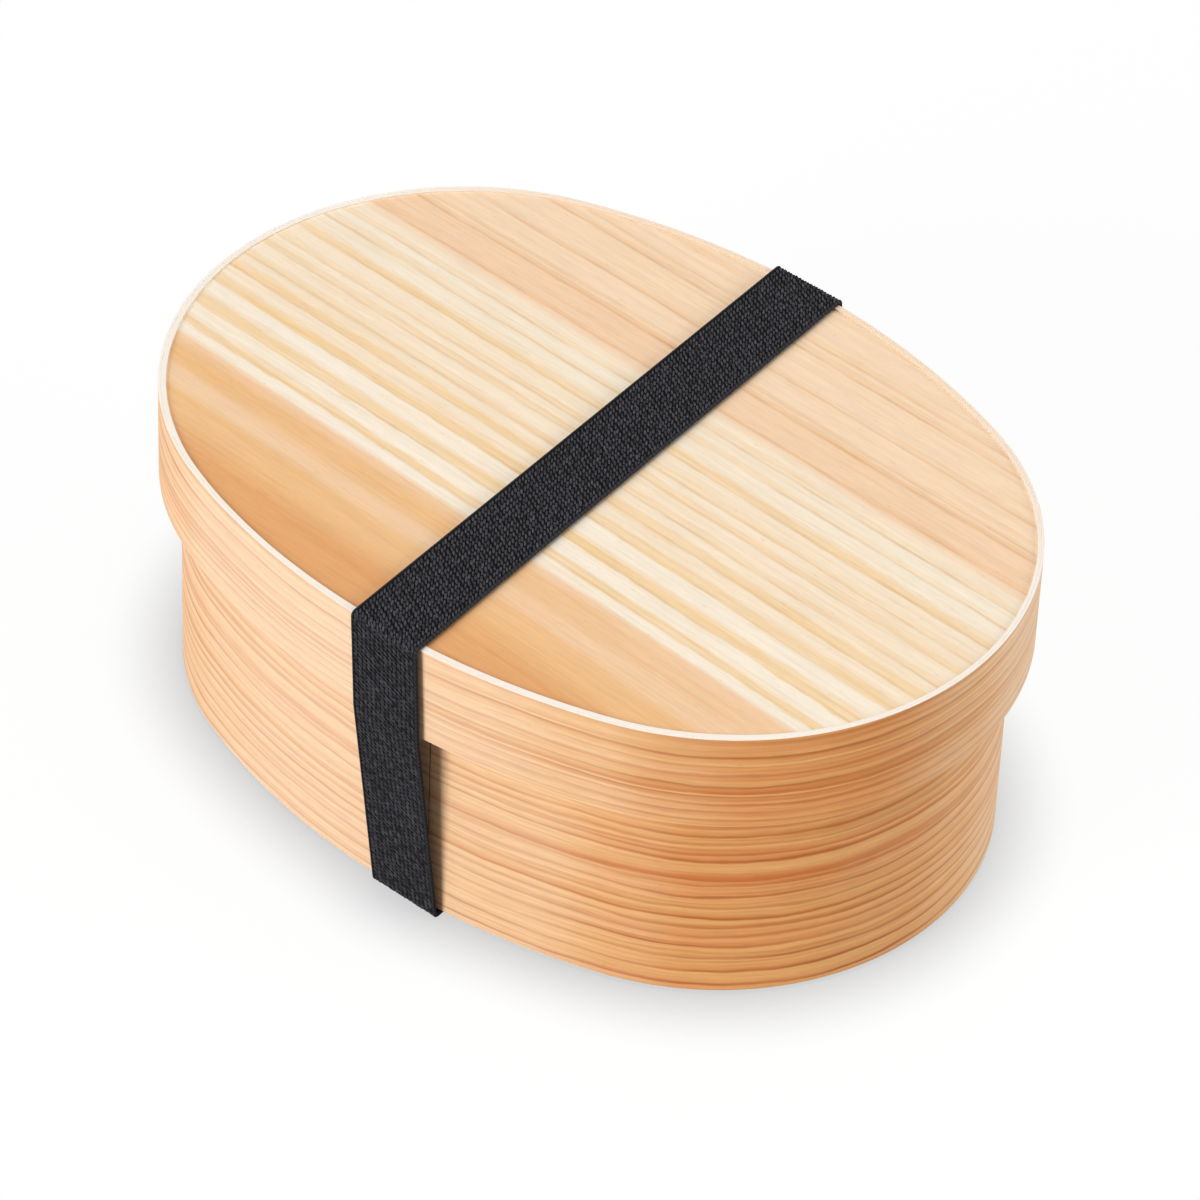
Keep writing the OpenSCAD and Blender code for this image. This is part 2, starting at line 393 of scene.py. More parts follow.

# How brown a wall is, from its own browner wood and from painted shade where it faces away from the lamps:
# (share of the way round from the seam, brownness)
LID_BROWNING_AND_SHADE = [
    (0, 0.12), (0.04, 0.22), (0.09, 0.48), (0.12, 0.78), (0.15, 1), (0.19, 1), (0.24, 0.5), (0.275, 0.14),
    (0.34, 0.08), (0.5, 0.3), (0.75, 0.3), (0.84, 0.4), (0.87, 0.3), (0.9, 0.1), (1, 0.05),
]
BASE_BROWNING_AND_SHADE = [
    (0, 0.32), (0.045, 0.4), (0.085, 0.75), (0.115, 1), (0.15, 1), (0.2, 0.85), (0.235, 0.6), (0.265, 0.32),
    (0.33, 0.15), (0.5, 0.3), (0.75, 0.3), (0.85, 0.36), (0.88, 0.24), (0.92, 0.18), (1, 0.22),
]
# The lid's hoop is sanded unevenly: (share of the way round from the front, thickness in millimetres)
LID_HOOP = [
    (0, 1.05), (0.1, 1.1), (0.15, 1.1), (0.19, 0.75), (0.27, 0.65), (0.4, 0.8), (0.6, 0.75), (0.75, 0.8),
    (0.8, 1.05), (0.87, 1), (0.91, 0.65), (0.95, 0.7), (1, 1.05),
]


def late_growth(finish, place, rings, plateau):
    """Two masks, 0 to 1, at a place in millimetres: the late growth beside the rings' lines, and the lines.
    The late growth keeps its full depth over a share of its reach, the plateau."""
    half_line, feather = 0.12, 0.36
    edge = half_line + feather
    masks = (0.0, 0.0, 0.0)
    for first in range(0, len(rings), RINGS_PER_RAMP):
        stops = []
        for line, reach, late_depth, line_depth in rings[first : first + RINGS_PER_RAMP]:
            side = math.copysign(1.0, reach)
            profile = (
                (-edge, 0.0, 0.0),
                (-half_line, late_depth, line_depth),
                (half_line, late_depth, line_depth),
                (edge, late_depth, 0.0),
                (max(plateau * abs(reach), edge), late_depth, 0.0),
                (abs(reach), 0.0, 0.0),
            )
            stops += [(line + side * offset, (late, dark, 0.0)) for offset, late, dark in profile]
        low, high = min(stops)[0], max(stops)[0]
        shares = [((spot - low) / (high - low), depths) for spot, depths in stops]
        masks = finish.blend(1.0, masks, finish.ramp(finish.range(place, low, high), shares), "ADD")
    return finish.split(masks)[:2]


def cedar_finish(name, colours, rings, browning_and_shade_stops, node, length, shift):
    """The bent cedar veneer: growth lines that run round the box over soft orange and honey zones, broken
    into streaks. The grain is faint where the strip is pale and strong where it is brown."""
    late_depth, line_depth, faintest, no_plateau = 0.8, 0.85, 0.27, 0.0
    finish = Finish(name)
    along, up = finish.grain_place()
    wander = finish.sway(along, up, 120, 50, shift, reach=3.2 * MM)
    ripple = finish.sway(along, up, 22, 5, shift + 5, reach=1.2 * MM)
    ragged = finish.sway(along, up, 5, 1.2, shift + 3, reach=0.35 * MM)
    height = finish.math("ADD", up, wander, ripple, ragged)
    over_edge = finish.math("DIVIDE", finish.math("SUBTRACT", height, low_z(node)), MM)
    late, line = late_growth(finish, over_edge, rings, no_plateau)

    # The brownness is partly painted shade: ground and grain darken where the wall faces away from the lamps
    browning_and_shade = finish.ramp(finish.math("DIVIDE", along, length), browning_and_shade_stops, "EASE")
    strength = finish.range(browning_and_shade, 0.0, 1.0, faintest, 1.0)
    grounds = [(0.0, colours.cedar_pale), (0.5, colours.cedar), (1.0, colours.cedar_brown)]
    ground = finish.ramp(browning_and_shade, grounds)
    honey = finish.patches(along, height, 220, 6, shift + 2, between=(0.42, 0.62), to=(0.0, 0.5), detail=1.0)
    colour = finish.blend(finish.math("MULTIPLY", honey, browning_and_shade), ground, colours.cedar_honey)
    zone = finish.patches(along, height, 60, 2.2, shift + 9, between=(0.3, 0.62), to=(0.35, 1.0))
    late_share = finish.math("MULTIPLY", late, zone, strength, late_depth)
    colour = finish.blend(late_share, colour, colours.cedar_late)
    broken = finish.patches(
        along, height, 34, 1.1, shift + 13, between=(0.32, 0.66), to=(0.3, 1.0), detail=3.0
    )
    line_share = finish.math("MULTIPLY", line, broken, strength, line_depth)
    colour = finish.blend(line_share, colour, colours.cedar_line)

    streak = finish.speckle(along, height, 60, 0.8, shift + 21, 3.0)
    orange = finish.math("MULTIPLY", finish.range(streak, 0.48, 0.72, 0.0, 0.45), strength)
    colour = finish.blend(orange, colour, colours.cedar_late)
    colour = finish.blend(strength, colour, finish.lighten(colour, streak, 1.06, 0.94))
    colour, fine = finish.fibres(colour, along, height, (0.955, 1.03), (0.94, 1.05))
    colour = finish.flecks(colour, along, height, 0.3, colours.cedar_late)
    top, blur = high_z(node), 0.06 * MM
    sanded = finish.range(up, top - blur, top + blur, 0.0, 0.95)
    colour = finish.blend(sanded, colour, rim_colour_and_painted_shade(finish, colours))
    return finish.done(colour, fine, roughness=(0.55, 0.68), depth=0.05, gloss=0.15)


def board_ground(finish, colours, millimetres):
    """The lid board's ground from front to back: brown heartwood, white and cream sapwood, peach wood."""
    dark, heart, heart_pale = colours.heart_dark, colours.heart, colours.heart_pale
    white, pale, cream = colours.sap_white, colours.sap_pale, colours.sap_cream
    peach, peach_deep = colours.peach, colours.peach_deep
    front, back = -62.0, 62.0
    zones = [
        (front, dark), (-54, dark), (-48, heart), (-43.8, heart), (-41.8, heart_pale), (-39.4, heart_pale),
        (-37.2, heart), (-34, heart), (-31.9, heart_pale), (-31.4, heart_pale), (-30.1, white), (-16, white),
        (-13, cream), (9.6, cream), (12, pale), (20, pale), (21.2, cream), (22.6, cream), (25.4, peach_deep),
        (33, peach_deep), (35, peach), (back, peach),
    ]
    stops = [((place - front) / (back - front), colour) for place, colour in zones]
    return finish.ramp(finish.range(millimetres, front, back), stops)


def lid_board_finish(colours):
    """The lid board: soft yellow late growth with ragged edges and thin dark lines, over its ground."""
    finish = Finish("lid_board_stripes")
    x, y, _ = finish.object_place()
    grain_slope = finish.range(y, -31 * MM, 24 * MM, 0.048, 0.027)
    straight = finish.math("ADD", y, finish.math("MULTIPLY", x, grain_slope))
    wander = finish.sway(x, straight, 90, 40, 1.0, reach=0.8 * MM)
    ripple = finish.sway(x, straight, 18, 2.5, 4.0, reach=0.6 * MM)
    ragged = finish.sway(x, straight, 3.5, 0.7, 6.0, reach=0.4 * MM)
    across = finish.math("ADD", straight, wander, ripple, ragged)
    millimetres = finish.math("DIVIDE", across, MM)

    colour = board_ground(finish, colours, millimetres)
    fade = [(0.0, 0.0), (0.4, 1.0), (0.88, 1.0), (1.0, 0.0)]
    heart_back = finish.ramp(finish.range(millimetres, -44, -30), fade)
    paler = finish.math("MULTIPLY", heart_back, finish.range(x, 0.0, 50 * MM, 0.0, 0.7))
    colour = finish.blend(paler, colour, colours.heart_pale)
    fingers = finish.sway(x, across, 7, 0.9, 9.0, reach=1.3)
    plateau = 0.55
    late = late_growth(finish, finish.math("ADD", millimetres, fingers), LID_BOARD_RINGS, plateau)[0]
    line = late_growth(finish, millimetres, LID_BOARD_RINGS, plateau)[1]
    zone = finish.patches(x, across, 40, 1.2, 8.0, between=(0.3, 0.62), to=(0.55, 1.0))
    late_colour = finish.blend(finish.range(millimetres, 22, 25), colours.sap_yellow, colours.peach_late)
    colour = finish.blend(finish.math("MULTIPLY", late, zone), colour, late_colour)
    broken = finish.patches(x, across, 14, 1.5, 5.0, between=(0.35, 0.68), to=(0.1, 0.8))
    colour = finish.blend(finish.math("MULTIPLY", line, broken), colour, colours.board_line)

    yellowed = finish.patches(x, across, 45, 0.9, 12.0, between=(0.46, 0.7), to=(0.0, 0.45), detail=3.0)
    colour = finish.blend(yellowed, colour, colours.sap_cream, "MULTIPLY")
    colour = finish.lighten(colour, finish.speckle(x, across, 16, 3, 15.0, 3.0), 0.97, 1.03)
    colour, fine = finish.fibres(colour, x, across, (0.97, 1.02), (0.96, 1.035))
    colour = finish.flecks(colour, x, across, 0.35, colours.board_line)
    return finish.done(colour, fine, roughness=(0.6, 0.72), depth=0.04, gloss=0.07)


def rim_colour_and_painted_shade(finish, colours):
    """The pale wood of the rim's edge, with painted shade that warms it to peach towards the box's back."""
    start, end, most_painted_shade = 30 * MM, 62 * MM, 0.8
    back = finish.range(finish.object_place()[1], start, end, 0.0, most_painted_shade)
    return finish.blend(back, colours.rim, colours.peach)


def rim_finish(colours):
    """The pale hoop wood: faint long fibres on its sanded edge, and painted shade that makes its sides
    darker than its top.
    """
    finish = Finish("sanded_hoop")
    along, across = finish.grain_place()
    warm = finish.patches(along, across, 30, 3, 6.0, between=(0.45, 0.8), to=(0.0, 0.35))
    colour = finish.blend(warm, rim_colour_and_painted_shade(finish, colours), colours.sap_cream)
    colour, fine = finish.fibres(colour, along, across, (0.97, 1.01), (0.98, 1.0))
    # Painted shade: faces that turn from upright are darkened
    upward = finish.split(finish.node("ShaderNodeNewGeometry", {}, "Normal"))[2]
    side, top, painted_shade_level = 0.2, 0.8, 0.8
    level = finish.range(finish.math("ABSOLUTE", upward), side, top, painted_shade_level, 1.0)
    colour = finish.shade(colour, level)
    return finish.done(colour, fine, roughness=(0.6, 0.72), depth=0.04, gloss=0.1)


def plain_wood_finish(name, colours, place, pitch):
    """Straight-grained plain wood, for the pieces inside. place gives the distance along and across the
    grain, and pitch is the distance between growth lines in millimetres."""
    finish = Finish(name)
    along, straight = place(finish)
    across = finish.math("ADD", straight, finish.sway(along, straight, 90, 30, 2.0, reach=4 * MM))
    drift_rings, line_depth = 2.0, 0.7
    drift = finish.speckle(0.0, across, 1, 14, 1.5, 0.0)
    even_rings = finish.math("DIVIDE", across, pitch * MM)
    rings = finish.math("ADD", even_rings, finish.math("MULTIPLY", drift, drift_rings))
    line = finish.ramp(finish.math("FRACT", rings), [(0.0, 0.0), (0.55, 0.15), (0.9, 0.8), (1.0, 0.2)])
    colour = finish.blend(finish.math("MULTIPLY", line, line_depth), colours.lining, colours.lining_line)
    colour, fine = finish.fibres(colour, along, across, (0.95, 1.04), (0.96, 1.03))
    return finish.done(colour, fine, roughness=(0.52, 0.66), depth=0.05, gloss=0.3)


def band_ground_finish(band):
    """The elastic's dark ground with its ribs, and smooth selvages. Its near-black ground is partly painted
    shade in the pits.
    """
    finish = Finish("elastic_ground")
    along, across = finish.grain_place()
    edge = finish.math("ABSOLUTE", across)
    selvage_start, blur = band.width / 2 - band.selvage, 0.3 * band.selvage
    selvage = finish.range(edge, selvage_start, selvage_start + blur)
    ribs_per_turn = 2 * math.pi / wale_lines(band)[1]
    from_selvage = finish.math("SUBTRACT", edge, selvage_start)
    rib_wave = finish.math("COSINE", finish.math("MULTIPLY", from_selvage, ribs_per_turn))
    ribbed = finish.blend(finish.range(rib_wave, 0.2, 1.0, 0.0, 0.3), band.ground, band.yarn)
    twill = finish.math("SINE", finish.math("MULTIPLY", along, 2 * math.pi / band.course_pitch))
    selvage_tone = finish.blend(finish.range(twill, -1, 1, 0.0, 0.4), band.yarn, band.yarn_light)
    rubber = finish.speckle(along, across, 0.5, 0.5, 2.0)
    colour = finish.lighten(finish.blend(selvage, ribbed, selvage_tone), rubber, 0.85, 1.12)
    return finish.done(colour, rubber, roughness=(0.8, 0.95), depth=0.05, gloss=0.08)


def yarn_finish(name, band):
    """Charcoal yarn, a little different from loop to loop, with a fine twist."""
    finish = Finish(name)
    place = finish.node("ShaderNodeTexCoord", {}, "Object")
    tone = finish.node("ShaderNodeTexNoise", {"Vector": place, "Scale": 900.0, "Detail": 1.0})
    fluff = finish.node("ShaderNodeTexNoise", {"Vector": place, "Scale": 7000.0, "Detail": 2.0})
    colour = finish.blend(finish.range(tone, 0.3, 0.7), band.yarn, band.yarn_light)
    colour = finish.lighten(colour, fluff, 0.85, 1.15)
    return finish.done(colour, fluff, roughness=(0.75, 0.92), depth=0.03, gloss=0.12)


def floor_finish(stage):
    """A pale floor that looks white, keeps a faint shadow and darkens where the box stands on it. It throws
    back less light than it shows."""
    finish = Finish("floor")
    seen = finish.seen()
    colour = finish.blend(seen, stage.floor_bounce, stage.floor)
    for key, value in (("Base Color", colour), ("Roughness", 0.9), ("Specular IOR Level", 0.1)):
        finish.feed(finish.shader.inputs[key], value)
    # Painted contact shadow: ambient occlusion darkens the floor's glow near the box's foot
    nearness = finish.node("ShaderNodeAmbientOcclusion", {"Distance": stage.contact_reach}, "AO", samples=8)
    touching, clear = 0.5, 0.98
    level = finish.range(nearness, touching, clear, stage.contact_level, 1.0)
    glow = finish.node("ShaderNodeEmission", {"Color": finish.join(level, level, level)})
    glow_share = finish.math("MULTIPLY", seen, stage.floor_glow)
    surface = finish.node("ShaderNodeMixShader", {0: glow_share, 1: finish.shader.outputs[0], 2: glow})
    finish.feed(finish.tree.nodes["Material Output"].inputs["Surface"], surface)
    return finish.material


# Helpers for shapes


def ways_of(angles):
    """The ways that angles face, as [angle, xy]."""
    return np.stack((np.cos(angles), np.sin(angles)), axis=1)


class Oval:
    """The lid's outline of four arcs, and outlines drawn in from it, by the angle that they face."""

    def __init__(self, sizes):
        half_length, half_width = sizes.lid_length / 2, sizes.lid_width / 2
        self.side_radius = sizes.side_radius
        self.side_y = sizes.side_radius - half_width
        self.end_radius = (2 * sizes.side_radius * half_width - half_length**2 - half_width**2) / (
            2 * (sizes.side_radius - half_length)
        )
        self.end_x = half_length - self.end_radius
        self.join = math.atan2(self.side_y, self.end_x)

    def on_ends(self, angles):
        """Whether the end arcs face each angle."""
        return np.abs(np.sin(angles)) < math.sin(self.join)

    def radius(self, angles, inset):
        """The arc's radius where the outline faces each angle."""
        return np.where(self.on_ends(angles), self.end_radius, self.side_radius) - inset

    def points(self, angles, inset):
        """The outline's points where it faces each angle."""
        ends = self.on_ends(angles)
        centre_x = np.where(ends, np.sign(np.cos(angles)) * self.end_x, 0.0)
        centre_y = np.where(ends, 0.0, -np.sign(np.sin(angles)) * self.side_y)
        return np.stack((centre_x, centre_y), axis=1) + self.radius(angles, inset)[:, None] * ways_of(angles)

    def front_angle(self, x, inset):
        """The angle that the front side faces at a place along it."""
        return math.asin(x / (self.side_radius - inset)) - math.pi / 2

    def walk(self, start, stop, step):
        """Angles from start to stop at even steps along the face, and the distance to each."""
        samples = 4001
        fine = np.linspace(start, stop, samples)
        lengths = np.diff(fine) * self.radius((fine[1:] + fine[:-1]) / 2, 0.0)
        travelled = np.concatenate(((0.0,), np.cumsum(lengths)))
        count = int(math.ceil(travelled[-1] / step))
        distances = np.linspace(0.0, travelled[-1], count + 1)
        return np.interp(distances, travelled, fine), distances


def eased_section(low, high, easing, corner_steps=4):
    """A rectangle with rounded corners, as (place, the way it faces): from low to high in two directions."""
    points, facings = [], []
    (left, bottom), (right, top) = low, high
    corners = ((right, bottom, -0.5), (right, top, 0.0), (left, top, 0.5), (left, bottom, 1.0))
    for corner_x, corner_y, half_turns in corners:
        centre_x = corner_x - math.copysign(easing, corner_x - (left + right) / 2)
        centre_y = corner_y - math.copysign(easing, corner_y - (bottom + top) / 2)
        for i in range(corner_steps + 1):
            angle = math.pi * (half_turns + 0.5 * i / corner_steps)
            facing = (math.cos(angle), math.sin(angle))
            points.append((centre_x + easing * facing[0], centre_y + easing * facing[1]))
            facings.append(facing)
    return np.array(points), np.array(facings)


def swept_grain(along, across):
    """The grain map of a swept mesh, as [station, point, 2]."""
    return np.stack(np.meshgrid(along, across, indexing="ij"), axis=2)


def grid_mesh(name, places, facings, closed, grain=None):
    """A mesh swept through stations: places and facings are [station, point, xyz], and grain is [station,
    point, 2]. The points of a station close on themselves. closed joins the last station to the first, and
    otherwise both ends are capped."""
    stations, ring = places.shape[:2]
    corners = []
    for k in range(stations if closed else stations - 1):
        corners += [((k, j), (k + 1, j), (k + 1, j + 1), (k, j + 1)) for j in range(ring)]
    if not closed:
        corners.append([(0, j) for j in range(ring)])
        corners.append([(stations - 1, j) for j in reversed(range(ring))])
    faces = [[(k % stations) * ring + j % ring for k, j in face] for face in corners]
    mesh = bpy.data.meshes.new(name)
    mesh.from_pydata(places.reshape(-1, 3).tolist(), [], faces)
    if grain is not None:
        spots = [grain[corner] for face in corners for corner in face]
        chart = mesh.uv_layers.new(name=GRAIN_MAP)
        chart.data.foreach_set("uv", np.array(spots, dtype=np.float32).ravel())
    mesh.normals_split_custom_set_from_vertices(facings.reshape(-1, 3).tolist())
    mesh.update()
    return mesh


def bent_ply(name, oval, insets, heights, easing, step, seam=None, thicknesses=None):
    """A strip bent round the oval, between two insets and two heights. With a seam of (start angle, stop
    angle) its ends stay apart. thicknesses of (share of the way round, millimetres) move its inner face."""
    (outer, inner), (low, high) = insets, heights
    most_easing = 0.45 * (inner - outer)
    section, section_facing = eased_section((-inner, low), (-outer, high), min(easing, most_easing))
    start, stop = seam or (-math.pi / 2, 1.5 * math.pi)
    angles, distances = oval.walk(start, stop, step)
    if seam is None:
        angles = angles[:-1]
    stations, ways = len(angles), ways_of(angles)[:, None]
    reach = np.repeat(section[None, :, 0], stations, axis=0)
    if thicknesses:
        shares, millimetres = zip(*thicknesses)
        thickness = np.interp(distances[:stations] / distances[-1], shares, millimetres) * MM
        reach += np.outer(inner - outer - thickness, section[:, 0] < -(outer + inner) / 2)
    flat = oval.points(angles, 0.0)[:, None] + ways * reach[..., None]
    places = np.dstack((flat, np.broadcast_to(section[:, 1], reach.shape)))
    facings = np.dstack((ways * section_facing[:, :1], np.broadcast_to(section_facing[:, 1], reach.shape)))
    steps = np.linalg.norm(np.diff(section, axis=0, append=section[:1]), axis=1)
    up = low + np.concatenate(((0.0,), np.cumsum(steps)))
    return grid_mesh(name, places, facings, seam is None, swept_grain(distances, up))


def eased_board(name, outline, ways, low, high, easing, turns=0):
    """A flat board with rounded edges. outline and ways are [point, 2] on the board's flat, and low and high
    bound its thickness. Each turn moves every axis on by one, so that one turn makes x the thickness."""
    edge_steps = 4
    quarter = np.linspace(0.0, math.pi / 2, edge_steps + 1)
    angles = np.concatenate((quarter[::-1], -quarter))
    middles = np.repeat((high - easing, low + easing), len(quarter))
    shape = (len(angles), len(outline))
    flat = outline + ways * (easing * (np.cos(angles) - 1.0))[:, None, None]
    rows = np.broadcast_to((middles + easing * np.sin(angles))[:, None], shape)
    places = np.roll(np.dstack((flat, rows)), turns, axis=2)
    flat_facing = ways * np.cos(angles)[:, None, None]
    facings = np.dstack((flat_facing, np.broadcast_to(np.sin(angles)[:, None], shape)))
    return grid_mesh(name, places, np.roll(facings, turns, axis=2), False)


def add_piece(name, mesh, material):
    """A piece at the origin with its place in its mesh."""
    if material is not None:
        mesh.materials.clear()
        mesh.materials.append(material)
    piece = bpy.data.objects.new(name, mesh)
    bpy.context.scene.collection.objects.link(piece)
    return piece


def stand_for(piece, body, slot, *nodes):
    """Makes a piece move with its body and take the place of its nodes."""
    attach(piece, body)
    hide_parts(*nodes)


def wall_insets(sizes):
    """How far each ply's faces lie in from a wall's outer face."""
    hoop = sizes.veneer
    lining = hoop + sizes.hoop
    return hoop, lining, lining + sizes.lining


def base_inset(sizes):
    """How far the base's outer face lies in from the lid's."""
    return wall_insets(sizes)[2] + sizes.lid_clearance


# The pieces


def build_wall(context, side, inset, seam_x, rings, browning_and_shade, shift, hoop_thicknesses=None):
    """The veneer, hoop and lining of the lid or the base."""
    sizes, colours = context.scene.bentwood_sizes, context.scene.wood_colours
    oval = Oval(sizes)
    length = oval.walk(0.0, 2 * math.pi, sizes.step)[1][-1]
    cedar = cedar_finish(f"cedar_veneer_{side}", colours, rings, browning_and_shade, f"{side}_veneer", length, shift)
    finishes = bpy.data.materials
    pale = finishes.get("sanded_hoop") or rim_finish(colours)
    plain = finishes.get("lining_grain")
    if plain is None:
        plain = plain_wood_finish("lining_grain", colours, Finish.grain_place, 3.4)

    start = oval.front_angle(seam_x + sizes.seam_gap / 2, inset)
    stop = oval.front_angle(seam_x - sizes.seam_gap / 2, inset) + 2 * math.pi
    hoop, lining, inside = (inset + depth for depth in wall_insets(sizes))
    plies = (
        ("cedar_veneer", cedar, "cedar_veneer", "veneer", (inset, hoop), {"seam": (start, stop)}),
        ("pale_hoop", pale, "pale_ply", "hoop", (hoop, lining), {"thicknesses": hoop_thicknesses}),
        ("inner_lining", plain, "lining_wood", "lining", (lining, inside), {}),
    )
    for name, material, slot, ply, insets, extras in plies:
        node = f"{side}_{ply}"
        heights = (low_z(node), high_z(node))
        mesh = bent_ply(f"{side}_{name}", oval, insets, heights, sizes.ply_easing, sizes.step, **extras)
        stand_for(add_piece(mesh.name, mesh, material), side, slot, node)


def build_oval_board(context, name, inset, node, body, slot, material):
    """A board let into the lid or the base."""
    sizes = context.scene.bentwood_sizes
    oval = Oval(sizes)
    angles = oval.walk(-math.pi, math.pi, sizes.step)[0][:-1]
    outline = oval.points(angles, inset)
    mesh = eased_board(name, outline, ways_of(angles), low_z(node), high_z(node), sizes.board_easing)
    stand_for(add_piece(name, mesh, material), body, slot, node)


def along_x(finish):
    """Grain that runs along the box."""
    return finish.object_place()[:2]


def along_y(finish):
    """Grain that runs across the box, on upright faces, and slopes through the thickness."""
    slope = 0.6
    x, y, z = finish.object_place()
    return y, finish.math("ADD", z, finish.math("MULTIPLY", x, slope))


class LUNCHBOX_OT_lid_board(bpy.types.Operator):
    """Make the striped board let into the lid"""

    bl_idname = "lunchbox.lid_board"
    bl_label = "Lid Board"

    def execute(self, context):
        sizes = context.scene.bentwood_sizes
        inset = sizes.veneer + min(thickness for _, thickness in LID_HOOP) * MM
        wood = lid_board_finish(context.scene.wood_colours)
        build_oval_board(context, "lid_striped_board", inset, "lid_board", "lid", "lid_board_wood", wood)
        return {"FINISHED"}


class LUNCHBOX_OT_lid_wall(bpy.types.Operator):
    """Make the lid's bent veneer, hoop and lining"""

    bl_idname = "lunchbox.lid_wall"
    bl_label = "Lid Wall"

    def execute(self, context):
        seam_x = context.scene.bentwood_sizes.lid_seam_x
        build_wall(context, "lid", 0.0, seam_x, LID_WALL_RINGS, LID_BROWNING_AND_SHADE, 3.0, LID_HOOP)
        return {"FINISHED"}


class LUNCHBOX_OT_base_wall(bpy.types.Operator):
    """Make the base's bent veneer, hoop and lining"""

    bl_idname = "lunchbox.base_wall"
    bl_label = "Base Wall"

    def execute(self, context):
        sizes = context.scene.bentwood_sizes
        inset, seam_x = base_inset(sizes), sizes.base_seam_x
        build_wall(context, "base", inset, seam_x, BASE_WALL_RINGS, BASE_BROWNING_AND_SHADE, 17.0)
        return {"FINISHED"}


class LUNCHBOX_OT_base_board(bpy.types.Operator):
    """Make the bottom board of the base"""

    bl_idname = "lunchbox.base_board"
    bl_label = "Base Board"

    def execute(self, context):
        sizes = context.scene.bentwood_sizes
        inset = base_inset(sizes) + wall_insets(sizes)[1] + sizes.board_edge_gap
        wood = plain_wood_finish("base_board_grain", context.scene.wood_colours, along_x, 6.5)
        build_oval_board(context, "base_bottom_board", inset, "base_board", "base", "base_board_wood", wood)
        return {"FINISHED"}


class LUNCHBOX_OT_divider(bpy.types.Operator):
    """Make the loose divider that stands inside"""

    bl_idname = "lunchbox.divider"
    bl_label = "Divider"

    def execute(self, context):
        sizes = context.scene.bentwood_sizes
        low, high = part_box("divider")
        section, ways = eased_section((low.y, low.z), (high.y, high.z), sizes.divider_corner, corner_steps=8)
        wood = plain_wood_finish("divider_grain", context.scene.wood_colours, along_y, 5)
        mesh = eased_board("loose_divider", section, ways, low.x, high.x, sizes.divider_easing, turns=1)
        stand_for(add_piece(mesh.name, mesh, wood), "divider", "divider_wood", "divider")
        return {"FINISHED"}


# The elastic band


